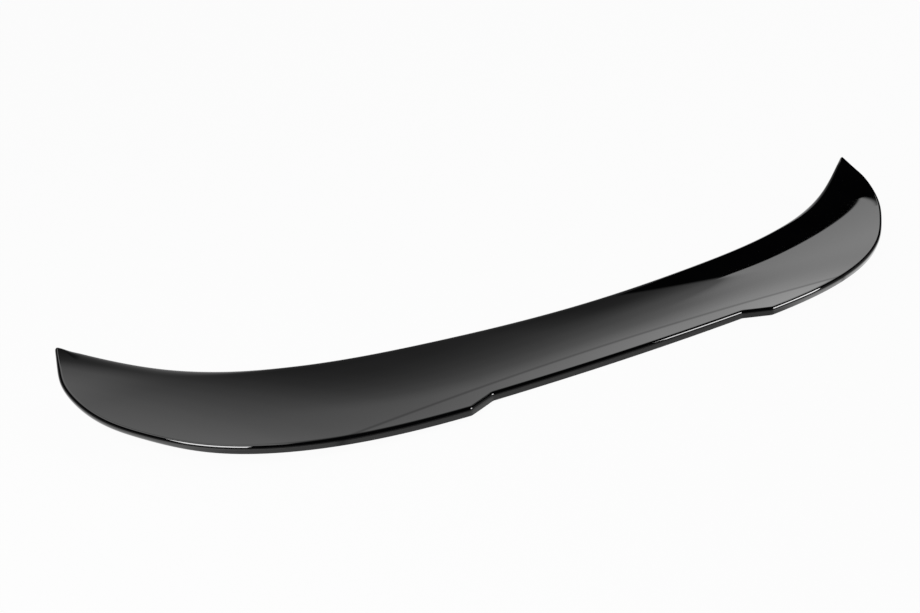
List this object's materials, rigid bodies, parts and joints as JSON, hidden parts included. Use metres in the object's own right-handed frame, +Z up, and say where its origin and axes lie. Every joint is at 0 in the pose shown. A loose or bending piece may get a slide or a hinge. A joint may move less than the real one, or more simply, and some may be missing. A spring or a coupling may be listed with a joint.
{
  "type": "car rear spoiler",
  "caption": "One-piece moulded rear spoiler for a car's boot lid: a dished gloss black shell with a stepped trailing lip, pointed upswept ends and an open underside.",
  "frame": {"origin": "under the middle of the plan outline, level with the lowest point of the lip", "axes": "+X along the span to the car's right, +Y forward to the leading edge and the tips, +Z up"},
  "size_m": [1.2583, 0.2469, 0.0769],
  "materials": {
    "shell": "gloss"
  },
  "bodies": {
    "root": {"spoiler_shell": "shell"}
  },
  "joints": []
}
